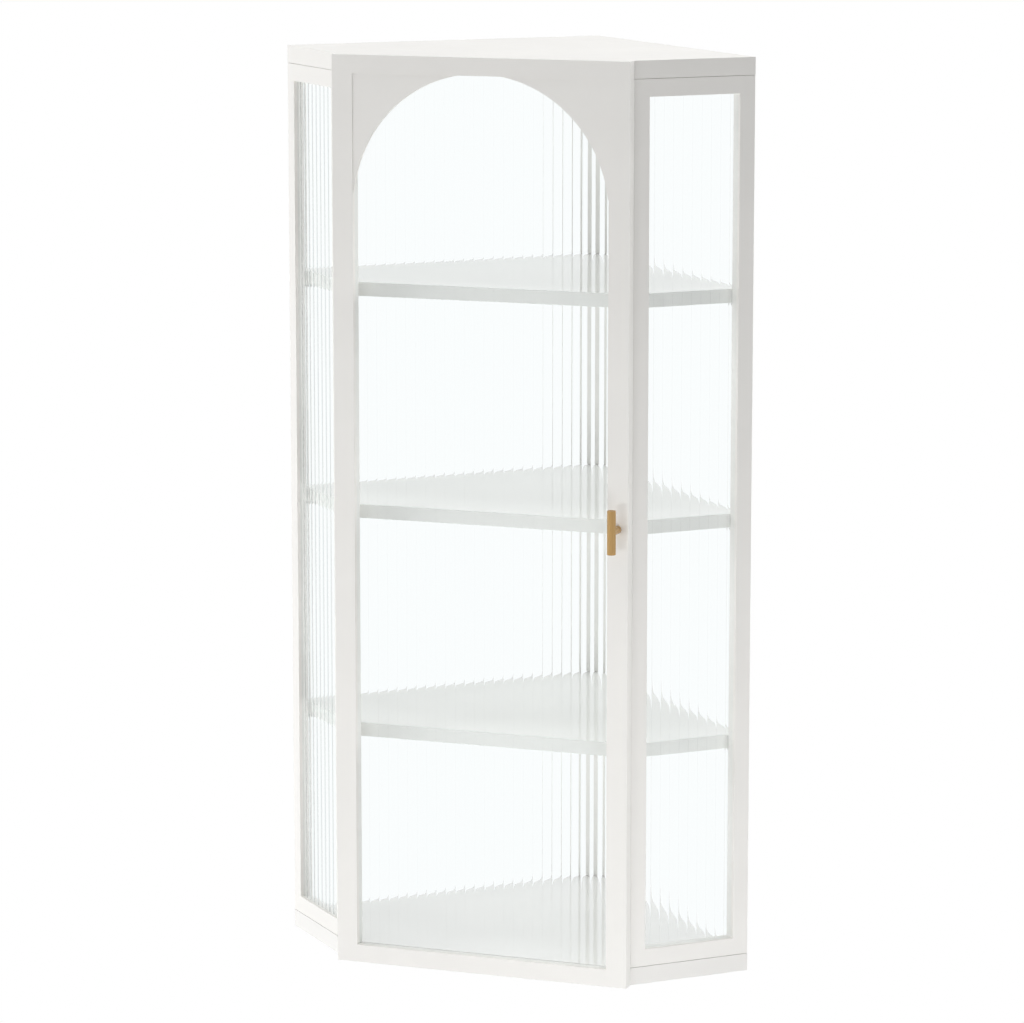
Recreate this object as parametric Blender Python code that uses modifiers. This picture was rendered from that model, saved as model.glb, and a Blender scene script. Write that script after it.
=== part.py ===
"""Corner glass wall cabinet: a five-sided cabinet that hangs in the corner of a room.

Two square-edged panels are held apart by two glazed side frames and a slim post in the room corner.
Three shelves stand on pins, and a full-height glazed door with an arched head swings on two butt hinges.
The back is open, because the two walls close it. Run it with blender --background --python part.py.

Lengths are in metres. X runs across the door, the door faces -Y, and Z is up.
The origin is under the middle of the overall box, on the plane of the underside.
"""

import math

import bmesh
import bpy
from mathutils import Matrix, Vector

# Carcass
HEIGHT = 1.050
WALL_LENGTH = 0.400
SIDE_DEPTH = 0.150
PANEL_T = 0.020

# Side frames
SIDE_T = 0.018
SIDE_STILE_W = 0.019
SIDE_RAIL_H = 0.020
SIDE_GLASS_SET_IN = 0.003
SIDE_GROOVE = 0.005

# Fluted glass
GLASS_T = 0.004
FLUTE_PITCH = 0.0118
FLUTE_DEPTH = 0.0004
FLUTE_POWER = 4
FLUTE_STEPS = 6
DOOR_FLUTE_SHIFT = 0.0025

# Back corner post and shelves
POST_LEG = 0.016
POST_NOTCH = 0.004
SHELF_COUNT = 3
SHELF_T = 0.016
SHELF_SET_BACK = 0.020
SHELF_SIDE_GAP = 0.0005
SHELF_WALL_GAP = 0.002

# Shelf pins and dowels
SHELF_PIN_D = 0.004
SHELF_PIN_COVER = 0.002
SHELF_PIN_OUT = 0.008
SHELF_PIN_EDGE = 0.0045
DOWEL_D = 0.006
DOWEL_COVER = 0.008
DOWEL_IN_STILE = 0.018

# Door
DOOR_T = 0.015
DOOR_GAP = 0.001
DOOR_END_GAP = 0.001
DOOR_STILE_W = 0.0244
DOOR_RAIL_H = 0.0193
DOOR_REBATE = 0.007
SPANDREL_T = 0.003
SPANDREL_RECESS = 0.0013
SPANDREL_TIP = 0.001
ARCH_TRIM = 0.002
ARCH_STEPS = 24

# Hinges
HINGE_INSET = 0.150
HINGE_H = 0.028
HINGE_LEAF_W = 0.014
HINGE_LEAF_T = 0.001
KNUCKLE_D = 0.0036
HINGE_PIN_D = 0.0016

# Handle and its screw
HANDLE_Z = 0.529
HANDLE_BAR_D = 0.010
HANDLE_BAR_LENGTH = 0.050
HANDLE_BAR_CHAMFER = 0.0007
HANDLE_STEM_D = 0.009
HANDLE_STANDOFF = 0.0214
SCREW_D = 0.004
SCREW_HEAD_D = 0.0072
SCREW_HEAD_T = 0.0025
SCREW_IN_STEM = 0.010

# Magnetic catch
CATCH_Z = 0.620
CATCH_INSET = 0.009
MAGNET_D = 0.006
MAGNET_LENGTH = 0.004
STRIKE_D = 0.009
STRIKE_T = 0.001

# Wall hangers in the top panel's back edges
HANGER_LENGTH = 0.040
HANGER_H = 0.015
HANGER_T = 0.0015
HANGER_FROM_CORNER = 0.200
KEYHOLE_ENTRY_D = 0.0085
KEYHOLE_SLOT_W = 0.0045
KEYHOLE_DROP = 0.0015
KEYHOLE_RISE = 0.0045
HANGER_POCKET_W = 0.012
HANGER_POCKET_H = 0.013
HANGER_POCKET_DEPTH = 0.010

# Gap between pieces that touch, overlap of pieces that are joined, how far a cutter runs past a face,
# and the distance at which points are one
FIT = 0.0003
JOIN = 0.0005
PAST = 0.002
WELD = 0.000001
ROUND_SEGMENTS = 24
SHARP_ANGLE = math.radians(40)

# Worked out from the sizes above
SQRT_HALF = math.sqrt(0.5)
HALF_FRONT = (WALL_LENGTH - SIDE_DEPTH) * SQRT_HALF
CORNER_DEPTH = (WALL_LENGTH + SIDE_DEPTH) * SQRT_HALF
HANDLE_REACH = DOOR_GAP + DOOR_T + HANDLE_STANDOFF + HANDLE_BAR_D / 2
FRONT_Y = (HANDLE_REACH - CORNER_DEPTH) / 2
CORNER_Y = FRONT_Y + CORNER_DEPTH

SIDE_BOTTOM = PANEL_T + FIT
SIDE_TOP = HEIGHT - PANEL_T - FIT
PANE_LOW = SIDE_BOTTOM + SIDE_RAIL_H - SIDE_GROOVE + FIT
PANE_HIGH = SIDE_TOP - SIDE_RAIL_H + SIDE_GROOVE - FIT
DOWEL_IN_PANEL = PANEL_T - DOWEL_COVER
SHELF_PIN_IN = SIDE_T - SIDE_GLASS_SET_IN - GLASS_T - SHELF_PIN_COVER

DOOR_BACK = FRONT_Y - DOOR_GAP
DOOR_FRONT = DOOR_BACK - DOOR_T
DOOR_LOW = DOOR_END_GAP
DOOR_HIGH = HEIGHT - DOOR_END_GAP
OPENING_HALF = HALF_FRONT - DOOR_STILE_W
OPENING_LOW = DOOR_LOW + DOOR_RAIL_H
OPENING_HIGH = DOOR_HIGH - DOOR_RAIL_H
SPANDREL_FRONT = DOOR_FRONT + SPANDREL_RECESS
DOOR_GLASS_FRONT = SPANDREL_FRONT + SPANDREL_T + FIT
DOOR_GLASS_BACK = DOOR_GLASS_FRONT + GLASS_T
REBATE_FRONT = DOOR_GLASS_FRONT - FIT

# The knuckle lies beside the corner, as far from the door's edge as from the side frame's slanting face
KNUCKLE_CLEAR = KNUCKLE_D / 2 + FIT
HINGE_X = -HALF_FRONT - KNUCKLE_CLEAR
HINGE_Y = FRONT_Y - KNUCKLE_CLEAR * (1 / SQRT_HALF - 1)
HANDLE_X = HALF_FRONT - DOOR_STILE_W / 2
HANDLE_BAR_Y = DOOR_FRONT - HANDLE_STANDOFF
CATCH_X = HALF_FRONT - CATCH_INSET

LEFT, RIGHT = -1, 1
SIDES = {LEFT: "left", RIGHT: "right"}


def clear_scene():
    for old in list(bpy.data.objects):
        bpy.data.objects.remove(old)


def new_collection(name):
    collection = bpy.data.collections.new(name)
    bpy.context.scene.collection.children.link(collection)
    return collection


def new_material(name, colour, roughness, metallic=0.0, transmission=0.0):
    material = bpy.data.materials.new(name)
    material.use_nodes = True
    shader = material.node_tree.nodes["Principled BSDF"]
    shader.inputs["Base Color"].default_value = (*colour, 1)
    shader.inputs["Roughness"].default_value = roughness
    shader.inputs["Metallic"].default_value = metallic
    shader.inputs["Transmission Weight"].default_value = transmission
    return material


clear_scene()
PARTS = new_collection("corner_glass_wall_cabinet")
CUTTERS = new_collection("cutters")
WHITE = new_material("white_paint", (0.80, 0.79, 0.77), 0.45)
GLASS = new_material("fluted_glass", (0.95, 0.98, 0.98), 0.03, transmission=1.0)
BRASS = new_material("satin_brass", (0.47, 0.31, 0.12), 0.32, metallic=1.0)
STEEL = new_material("zinc_steel", (0.62, 0.62, 0.61), 0.35, metallic=1.0)
LACQUER = new_material("lacquered_steel", (0.80, 0.79, 0.77), 0.35)
BEECH = new_material("beech", (0.60, 0.42, 0.25), 0.60)


def empty_at(name, location):
    empty = bpy.data.objects.new(name, None)
    empty.location = location
    PARTS.objects.link(empty)
    return empty


CARCASS = empty_at("carcass", (0, 0, 0))
DOOR = empty_at("door_on_its_hinge_axis", (HINGE_X, HINGE_Y, 0))


def add_part(name, mesh, material, parent, location=(0, 0, 0)):
    """A named piece at a place in the cabinet's frame, carried by the carcass or by the door."""
    mesh.materials.clear()
    mesh.materials.append(material)
    part = bpy.data.objects.new(name, mesh)
    part.parent = parent
    part.location = Vector(location) - parent.location
    PARTS.objects.link(part)
    return part


def add_cutter(name, mesh, location=(0, 0, 0)):
    cutter = bpy.data.objects.new(name, mesh)
    cutter.location = location
    cutter.hide_render = True
    cutter.display_type = "WIRE"
    CUTTERS.objects.link(cutter)
    return cutter


def combine(part, tool, operation="DIFFERENCE"):
    boolean = part.modifiers.new(tool.name, "BOOLEAN")
    boolean.operation = operation
    boolean.object = tool
    boolean.solver = "EXACT"


def block_mesh(size, turn=0.0):
    """A box about the origin, turned about Z."""
    mesh = bpy.data.meshes.new("block")
    shape = bmesh.new()
    turned = Matrix.Rotation(turn, 4, "Z") @ Matrix.Diagonal((*size, 1))
    bmesh.ops.create_cube(shape, size=1.0, matrix=turned)
    shape.to_mesh(mesh)
    shape.free()
    return mesh


def span_mesh(low, high):
    """A box between two corners, about its own middle, and that middle."""
    low, high = Vector(low), Vector(high)
    return block_mesh(high - low), (low + high) / 2


def rod_mesh(diameter, length, axis=(0, 0, 1)):
    """A cylinder about the origin, along an axis."""
    mesh = bpy.data.meshes.new("rod")
    shape = bmesh.new()
    bmesh.ops.create_cone(
        shape,
        cap_ends=True,
        segments=ROUND_SEGMENTS,
        radius1=diameter / 2,
        radius2=diameter / 2,
        depth=length,
        matrix=Vector((0, 0, 1)).rotation_difference(Vector(axis)).to_matrix().to_4x4(),
    )
    shape.to_mesh(mesh)
    shape.free()
    mesh.shade_smooth()
    mesh.set_sharp_from_angle(angle=SHARP_ANGLE)
    return mesh


def solid_of(source):
    """The evaluated mesh of a curve, or of a profile with a Screw, closed and turned the right way out."""
    bpy.context.scene.collection.objects.link(source)
    bpy.context.view_layer.update()
    mesh = bpy.data.meshes.new_from_object(source.evaluated_get(bpy.context.evaluated_depsgraph_get()))
    bpy.data.objects.remove(source)
    shape = bmesh.new()
    shape.from_mesh(mesh)
    bmesh.ops.remove_doubles(shape, verts=shape.verts, dist=WELD)
    bmesh.ops.recalc_face_normals(shape, faces=shape.faces)
    shape.to_mesh(mesh)
    shape.free()
    return mesh


def sheet_mesh(outline, thickness):
    """A flat outline in X and Y, thickened evenly to both sides of its plane."""
    curve = bpy.data.curves.new("outline", "CURVE")
    curve.dimensions = "2D"
    curve.fill_mode = "BOTH"
    curve.extrude = thickness / 2
    spline = curve.splines.new("POLY")
    spline.points.add(len(outline) - 1)
    for point, (x, y) in zip(spline.points, outline):
        point.co = (x, y, 0, 1)
    spline.use_cyclic_u = True
    return solid_of(bpy.data.objects.new("outline", curve))


def turned_mesh(profile, axis=(0, 0, 1)):
    """A profile of radius and height, from the top down, turned about Z and then laid along an axis."""
    line = bpy.data.meshes.new("profile")
    edges = [(i, i + 1) for i in range(len(profile) - 1)]
    line.from_pydata([(radius, 0, height) for radius, height in profile], edges, [])
    source = bpy.data.objects.new("profile", line)
    screw = source.modifiers.new("turn", "SCREW")
    screw.steps = ROUND_SEGMENTS
    screw.render_steps = ROUND_SEGMENTS
    screw.use_merge_vertices = True
    screw.merge_threshold = WELD
    mesh = solid_of(source)
    mesh.transform(Vector((0, 0, 1)).rotation_difference(Vector(axis)).to_matrix().to_4x4())
    mesh.shade_smooth()
    mesh.set_sharp_from_angle(angle=SHARP_ANGLE)
    return mesh


def side_point(side, along, inward):
    """Plan point of a side frame: along it from the front corner, and inward from its outer face."""
    x = HALF_FRONT + (along - inward) * SQRT_HALF
    y = FRONT_Y + (along + inward) * SQRT_HALF
    return Vector((side * x, y))


def inward_axis(side):
    return Vector((-side * SQRT_HALF, SQRT_HALF, 0))


def side_prism(side, corners):
    """Plan outline of a side frame's piece, from corners given as (along, inward)."""
    return [side_point(side, along, inward) for along, inward in corners]


def upright(name, outline, low, high, material, parent):
    """A plan outline that stands from one height to another."""
    return add_part(name, sheet_mesh(outline, high - low), material, parent, (0, 0, (low + high) / 2))


def fluted_outline(low, high, ridge):
    """Section of a pane from low to high along its width: one flat face at 0, and one of hollow flutes."""
    def thickness(along):
        across = ((along - ridge) / FLUTE_PITCH) % 1 * 2 - 1
        return GLASS_T - FLUTE_DEPTH * (1 - across**FLUTE_POWER)

    step = FLUTE_PITCH / FLUTE_STEPS
    first = math.ceil((low + FIT - ridge) / step)
    last = math.floor((high - FIT - ridge) / step)
    stations = [low, *(ridge + i * step for i in range(first, last + 1)), high]
    return [(low, 0), (high, 0), *((along, thickness(along)) for along in reversed(stations))]


def carcass_outline():
    """The five corners of the top and bottom panels."""
    return [
        (HALF_FRONT, FRONT_Y),
        side_point(RIGHT, SIDE_DEPTH, 0),
        (0, CORNER_Y),
        side_point(LEFT, SIDE_DEPTH, 0),
        (-HALF_FRONT, FRONT_Y),
    ]


def shelf_outline():
    """Inside the side frames, short of the walls, and cut across where it enters the corner post."""
    inward = SIDE_T + SHELF_SIDE_GAP
    front_along = SHELF_SET_BACK / SQRT_HALF - inward
    rear_along = SIDE_DEPTH - SHELF_WALL_GAP
    flat_y = CORNER_Y - POST_LEG * SQRT_HALF + POST_NOTCH - FIT
    flat_half = CORNER_Y - SHELF_WALL_GAP / SQRT_HALF - flat_y
    front, rear = side_point(RIGHT, front_along, inward), side_point(RIGHT, rear_along, inward)
    right = [front, rear, (flat_half, flat_y)]
    return right + [(-x, y) for x, y in reversed(right)]


def shelf_floors():
    """Underside heights of the shelves, which part the inside into equal spaces."""
    inside = HEIGHT - 2 * PANEL_T
    space = (inside - SHELF_COUNT * SHELF_T) / (SHELF_COUNT + 1)
    return [PANEL_T + (i + 1) * space + i * SHELF_T for i in range(SHELF_COUNT)]


SHELF_NAMES = ["lower", "middle", "upper", *(f"extra_{i}" for i in range(SHELF_COUNT))][:SHELF_COUNT]


def build_panels():
    bottom = upright("bottom_panel", carcass_outline(), 0, PANEL_T, WHITE, CARCASS)
    top = upright("top_panel", carcass_outline(), HEIGHT - PANEL_T, HEIGHT, WHITE, CARCASS)
    return bottom, top


def build_side(side):
    """Two stiles and two rails, grooved round one fluted pane."""
    name = SIDES[side]
    far = SIDE_DEPTH - SIDE_STILE_W
    front_stile = [(0, 0), (SIDE_STILE_W, 0), (SIDE_STILE_W, SIDE_T), (-SIDE_T, SIDE_T)]
    rear_stile = [(far, 0), (SIDE_DEPTH, 0), (SIDE_DEPTH, SIDE_T), (far, SIDE_T)]
    rail_low, rail_high = SIDE_STILE_W + FIT, far - FIT
    rail = [(rail_low, 0), (rail_high, 0), (rail_high, SIDE_T), (rail_low, SIDE_T)]
    members = {
        "front_stile": (front_stile, SIDE_BOTTOM, SIDE_TOP),
        "rear_stile": (rear_stile, SIDE_BOTTOM, SIDE_TOP),
        "bottom_rail": (rail, SIDE_BOTTOM, SIDE_BOTTOM + SIDE_RAIL_H),
        "top_rail": (rail, SIDE_TOP - SIDE_RAIL_H, SIDE_TOP),
    }
    built = {}
    for member, (corners, low, high) in members.items():
        outline = side_prism(side, corners)
        built[member] = upright(f"{name}_{member}", outline, low, high, WHITE, CARCASS)

    pane_low, pane_high = SIDE_STILE_W - SIDE_GROOVE + FIT, far + SIDE_GROOVE - FIT
    pane = fluted_outline(pane_low, pane_high, SIDE_DEPTH / 2)
    corners = [(along, SIDE_GLASS_SET_IN + inward) for along, inward in pane]
    upright(f"{name}_glass", side_prism(side, corners), PANE_LOW, PANE_HIGH, GLASS, CARCASS)

    slot_low, slot_high = pane_low - FIT, pane_high + FIT
    outer, inner = SIDE_GLASS_SET_IN - FIT, SIDE_GLASS_SET_IN + GLASS_T + FIT
    slot = side_prism(side, [(slot_low, outer), (slot_high, outer), (slot_high, inner), (slot_low, inner)])
    slot_height = PANE_HIGH - PANE_LOW + 2 * FIT
    cutter = add_cutter(f"{name}_groove", sheet_mesh(slot, slot_height), (0, 0, (PANE_LOW + PANE_HIGH) / 2))
    for member in built.values():
        combine(member, cutter)
    return built


def build_dowels(side, stiles, bottom, top):
    """One dowel at each end of each stile, in the middle of its solid part, into the panels."""
    solid = SIDE_STILE_W - SIDE_GROOVE
    middles = {"front_stile": (solid - SIDE_T / 2) / 2, "rear_stile": SIDE_DEPTH - solid / 2}
    length = DOWEL_IN_PANEL + DOWEL_IN_STILE
    ends = {"bottom": (bottom, PANEL_T, 1), "top": (top, HEIGHT - PANEL_T, -1)}
    for stile, along in middles.items():
        plan = side_point(side, along, SIDE_T / 2)
        for end, (panel, seam, inside) in ends.items():
            middle = seam + inside * (DOWEL_IN_STILE - DOWEL_IN_PANEL) / 2
            place = (*plan, middle)
            name = f"{SIDES[side]}_{stile}_{end}_dowel"
            add_part(name, rod_mesh(DOWEL_D, length), BEECH, CARCASS, place)
            hole = add_cutter(f"{name}_hole", rod_mesh(DOWEL_D + 2 * FIT, length + 2 * FIT), place)
            combine(panel, hole)
            combine(stiles[stile], hole)


def build_shelves(stiles_of):
    """Shelves on pins in the stiles, with their back corner let into the post."""
    face_y = CORNER_Y - POST_LEG * SQRT_HALF
    face_half = POST_LEG * SQRT_HALF
    corner = [(0, CORNER_Y), (-face_half, face_y), (face_half, face_y)]
    post = upright("back_corner_post", corner, SIDE_BOTTOM, SIDE_TOP, WHITE, CARCASS)
    for name, floor in zip(SHELF_NAMES, shelf_floors()):
        upright(f"{name}_shelf", shelf_outline(), floor, floor + SHELF_T, WHITE, CARCASS)
        low = (-POST_LEG, face_y - PAST, floor - FIT)
        high = (POST_LEG, face_y + POST_NOTCH, floor + SHELF_T + FIT)
        combine(post, add_cutter(f"{name}_shelf_notch", *span_mesh(low, high)))
        for side, stiles in stiles_of.items():
            build_shelf_pins(name, floor, side, stiles)


def build_shelf_pins(shelf, floor, side, stiles):
    alongs = {
        "front_stile": SIDE_STILE_W - SHELF_PIN_EDGE,
        "rear_stile": SIDE_DEPTH - SIDE_STILE_W + SHELF_PIN_EDGE,
    }
    length = SHELF_PIN_IN + SHELF_PIN_OUT
    for stile, along in alongs.items():
        plan = side_point(side, along, SIDE_T + (SHELF_PIN_OUT - SHELF_PIN_IN) / 2)
        place = (*plan, floor - FIT - SHELF_PIN_D / 2)
        name = f"{shelf}_shelf_{SIDES[side]}_{stile.split('_')[0]}_pin"
        add_part(name, rod_mesh(SHELF_PIN_D, length, inward_axis(side)), STEEL, CARCASS, place)
        hole = rod_mesh(SHELF_PIN_D + 2 * FIT, length + 2 * FIT, inward_axis(side))
        combine(stiles[stile], add_cutter(f"{name}_hole", hole, place))


def build_door_frame():
    """Two full-height stiles with two rails between them, rebated from the back for the glass."""
    rail_half = OPENING_HALF - FIT
    members = {
        "door_hinge_stile": ((-HALF_FRONT, DOOR_LOW), (-OPENING_HALF, DOOR_HIGH)),
        "door_handle_stile": ((OPENING_HALF, DOOR_LOW), (HALF_FRONT, DOOR_HIGH)),
        "door_bottom_rail": ((-rail_half, DOOR_LOW), (rail_half, OPENING_LOW)),
        "door_top_rail": ((-rail_half, OPENING_HIGH), (rail_half, DOOR_HIGH)),
    }
    half, low, high = OPENING_HALF + DOOR_REBATE, OPENING_LOW - DOOR_REBATE, OPENING_HIGH + DOOR_REBATE
    rebate_mesh, rebate_place = span_mesh((-half, REBATE_FRONT, low), (half, DOOR_BACK + PAST, high))
    rebate = add_cutter("door_rebate", rebate_mesh, rebate_place)
    built = {}
    for name, ((x0, z0), (x1, z1)) in members.items():
        mesh, middle = span_mesh((x0, DOOR_FRONT, z0), (x1, DOOR_BACK, z1))
        built[name] = add_part(name, mesh, WHITE, DOOR, middle)
        combine(built[name], rebate)
    return built


def build_door_glazing():
    """The fluted pane, the beads that hold it from behind, and the two spandrels that make the arch."""
    half = OPENING_HALF + DOOR_REBATE - FIT
    low = OPENING_LOW - DOOR_REBATE + FIT
    high = OPENING_HIGH + DOOR_REBATE - FIT
    outline = [(x, DOOR_GLASS_FRONT + y) for x, y in fluted_outline(-half, half, DOOR_FLUTE_SHIFT)]
    upright("door_glass", outline, low, high, GLASS, DOOR)

    front, back = DOOR_GLASS_BACK + FIT, DOOR_BACK - FIT
    side_low, side_high = OPENING_LOW - FIT, OPENING_HIGH + FIT
    beads = {
        "door_left_bead": ((-half, low), (-OPENING_HALF, high)),
        "door_right_bead": ((OPENING_HALF, low), (half, high)),
        "door_bottom_bead": ((-OPENING_HALF + FIT, low), (OPENING_HALF - FIT, side_low)),
        "door_top_bead": ((-OPENING_HALF + FIT, side_high), (OPENING_HALF - FIT, high)),
    }
    for name, ((x0, z0), (x1, z1)) in beads.items():
        mesh, middle = span_mesh((x0, front, z0), (x1, back, z1))
        add_part(name, mesh, WHITE, DOOR, middle)

    stand_up = Matrix.Rotation(math.radians(90), 4, "X")
    for side, name in SIDES.items():
        mesh = sheet_mesh([(side * x, z) for x, z in spandrel_outline()], SPANDREL_T)
        mesh.transform(stand_up)
        add_part(f"door_{name}_spandrel", mesh, WHITE, DOOR, (0, SPANDREL_FRONT + SPANDREL_T / 2, 0))


def spandrel_outline():
    """The right-hand corner above the arch, as (x, z): a semicircle that the top rail just cuts."""
    radius = OPENING_HALF
    centre = OPENING_HIGH + ARCH_TRIM - radius
    edge, top = OPENING_HALF - FIT, OPENING_HIGH - FIT
    start = math.acos((edge - SPANDREL_TIP) / radius)
    end = math.asin((top - centre) / radius)
    angles = [start + (end - start) * i / ARCH_STEPS for i in range(ARCH_STEPS + 1)]
    arch = [(radius * math.cos(angle), centre + radius * math.sin(angle)) for angle in angles]
    return [*arch, (edge, top), (edge, arch[0][1])]


def build_hinge(name, middle, door_stile, frame_stile):
    """A butt hinge of three knuckles, let into the door's back and the carcass's front."""
    knuckle = (HINGE_H - 2 * FIT) / 3
    lift = knuckle + FIT
    leaf_x = -HALF_FRONT + HINGE_LEAF_W / 2
    leaves = {
        "door": (DOOR, DOOR_BACK - HINGE_LEAF_T, DOOR_BACK, [0]),
        "frame": (CARCASS, FRONT_Y, FRONT_Y + HINGE_LEAF_T, [-lift, lift]),
    }
    on_axis = (HINGE_X, HINGE_Y, middle)
    bore = add_cutter(f"{name}_bore", rod_mesh(HINGE_PIN_D + 2 * FIT, HINGE_H + 2 * PAST), on_axis)
    for leaf, (parent, front, back, knuckles) in leaves.items():
        mesh = block_mesh((HINGE_LEAF_W, HINGE_LEAF_T, HINGE_H))
        plate = add_part(f"{name}_{leaf}_leaf", mesh, LACQUER, parent, (leaf_x, (front + back) / 2, middle))
        for i, rise in enumerate(knuckles):
            z = middle + rise
            low = (HINGE_X, front, z - knuckle / 2)
            high = (-HALF_FRONT + JOIN, back, z + knuckle / 2)
            combine(plate, add_cutter(f"{name}_{leaf}_arm_{i}", *span_mesh(low, high)), "UNION")
            barrel = rod_mesh(KNUCKLE_D, knuckle)
            combine(plate, add_cutter(f"{name}_{leaf}_knuckle_{i}", barrel, (HINGE_X, HINGE_Y, z)), "UNION")
        combine(plate, bore)
    add_part(f"{name}_pin", rod_mesh(HINGE_PIN_D, HINGE_H), LACQUER, CARCASS, on_axis)

    inner, half = -HALF_FRONT + HINGE_LEAF_W + FIT, HINGE_H / 2 + FIT
    depth = HINGE_LEAF_T + FIT
    mortises = {
        door_stile: (DOOR_BACK - depth, DOOR_BACK + PAST),
        frame_stile: (FRONT_Y - PAST, FRONT_Y + depth),
    }
    for stile, (front, back) in mortises.items():
        low, high = (-HALF_FRONT - PAST, front, middle - half), (inner, back, middle + half)
        combine(stile, add_cutter(f"{name}_{stile.name}_mortise", *span_mesh(low, high)))


def build_handle(stile):
    """A bar on one stem, held by a screw from behind the stile."""
    half, chamfer = HANDLE_BAR_LENGTH / 2, HANDLE_BAR_CHAMFER
    radius = HANDLE_BAR_D / 2
    bar = [(0, half), (radius - chamfer, half), (radius, half - chamfer)]
    bar += [(r, -z) for r, z in reversed(bar)]
    add_part("handle_bar", turned_mesh(bar), BRASS, DOOR, (HANDLE_X, HANDLE_BAR_Y, HANDLE_Z))

    stem_back = DOOR_FRONT - FIT
    stem_length = stem_back - HANDLE_BAR_Y
    stem_place = (HANDLE_X, stem_back - stem_length / 2, HANDLE_Z)
    stem = add_part("handle_stem", rod_mesh(HANDLE_STEM_D, stem_length, (0, 1, 0)), BRASS, DOOR, stem_place)
    saddle = rod_mesh(HANDLE_BAR_D + 2 * FIT, HANDLE_BAR_LENGTH)
    combine(stem, add_cutter("handle_saddle", saddle, (HANDLE_X, HANDLE_BAR_Y, HANDLE_Z)))

    head_back = DOOR_BACK - FIT
    tip = DOOR_FRONT - SCREW_IN_STEM
    head, shank = SCREW_HEAD_D / 2, SCREW_D / 2
    length = head_back - tip
    screw = [(0, length), (head, length), (head, length - SCREW_HEAD_T), (shank, length - SCREW_HEAD_T)]
    screw += [(shank, 0), (0, 0)]
    add_part("handle_screw", turned_mesh(screw, (0, 1, 0)), STEEL, DOOR, (HANDLE_X, tip, HANDLE_Z))

    hole_low, hole_high = tip - FIT, DOOR_BACK + PAST
    hole = rod_mesh(SCREW_D + 2 * FIT, hole_high - hole_low, (0, 1, 0))
    hole = add_cutter("handle_screw_hole", hole, (HANDLE_X, (hole_low + hole_high) / 2, HANDLE_Z))
    combine(stem, hole)
    combine(stile, hole)
    seat_low = head_back - SCREW_HEAD_T - FIT
    seat = rod_mesh(SCREW_HEAD_D + 2 * FIT, hole_high - seat_low, (0, 1, 0))
    combine(stile, add_cutter("handle_screw_seat", seat, (HANDLE_X, (seat_low + hole_high) / 2, HANDLE_Z)))


def build_catch(door_stile, frame_stile):
    """A magnet in the carcass's front face and a steel disc in the door's back."""
    pieces = {
        "catch_magnet": (CARCASS, frame_stile, MAGNET_D, MAGNET_LENGTH, FRONT_Y, 1),
        "catch_strike": (DOOR, door_stile, STRIKE_D, STRIKE_T, DOOR_BACK, -1),
    }
    for name, (parent, seat, diameter, length, face, inside) in pieces.items():
        place = (CATCH_X, face + inside * length / 2, CATCH_Z)
        add_part(name, rod_mesh(diameter, length, (0, 1, 0)), STEEL, parent, place)
        hole_length = length + FIT + PAST
        middle = face + inside * (hole_length / 2 - PAST)
        hole = rod_mesh(diameter + 2 * FIT, hole_length, (0, 1, 0))
        combine(seat, add_cutter(f"{name}_seat", hole, (CATCH_X, middle, CATCH_Z)))


def build_hanger(side, panel):
    """A keyhole plate let into the top panel's back edge, over a pocket for the wall screw's head."""
    outward = Vector((side * SQRT_HALF, SQRT_HALF, 0))
    along_wall = Vector((side * SQRT_HALF, -SQRT_HALF, 0))
    turn = side * math.radians(-45)
    name = f"{SIDES[side]}_hanger_plate"
    on_wall = Vector((0, CORNER_Y, HEIGHT - PANEL_T / 2)) + along_wall * HANGER_FROM_CORNER
    place = on_wall - outward * HANGER_T / 2
    plate = add_part(name, block_mesh((HANGER_LENGTH, HANGER_T, HANGER_H), turn), STEEL, CARCASS, place)

    depth = HANGER_T + 2 * PAST
    entry = rod_mesh(KEYHOLE_ENTRY_D, depth, outward)
    combine(plate, add_cutter(f"{name}_entry", entry, place - Vector((0, 0, KEYHOLE_DROP))))
    slot = block_mesh((KEYHOLE_SLOT_W, depth, KEYHOLE_RISE), turn)
    combine(plate, add_cutter(f"{name}_slot", slot, place + Vector((0, 0, KEYHOLE_RISE / 2))))

    recess = (HANGER_LENGTH + 2 * FIT, HANGER_T + FIT + PAST, HANGER_H + 2 * FIT)
    recess_place = on_wall - outward * (recess[1] / 2 - PAST)
    combine(panel, add_cutter(f"{name}_recess", block_mesh(recess, turn), recess_place))
    pocket = (HANGER_POCKET_W, HANGER_POCKET_DEPTH + PAST, HANGER_POCKET_H)
    pocket_place = on_wall - outward * (pocket[1] / 2 - PAST)
    combine(panel, add_cutter(f"{name}_pocket", block_mesh(pocket, turn), pocket_place))


def build_cabinet():
    bottom, top = build_panels()
    stiles_of = {side: build_side(side) for side in SIDES}
    for side, stiles in stiles_of.items():
        build_dowels(side, stiles, bottom, top)
        build_hanger(side, top)
    build_shelves(stiles_of)
    frame = build_door_frame()
    build_door_glazing()
    for name, middle in (("lower_hinge", HINGE_INSET), ("upper_hinge", HEIGHT - HINGE_INSET)):
        build_hinge(name, middle, frame["door_hinge_stile"], stiles_of[LEFT]["front_stile"])
    build_handle(frame["door_handle_stile"])
    build_catch(frame["door_handle_stile"], stiles_of[RIGHT]["front_stile"])


build_cabinet()
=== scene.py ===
"""Looks of the corner glass wall cabinet.

Continuous painted frames, finely fluted panes, a dished brass handle and small screws are fitted to the
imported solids, which keep their places. Lengths are in metres: X runs across the door, the door faces -Y,
and Z is up.
"""

import math

import bmesh
import bpy
from mathutils import Matrix, Vector


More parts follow.
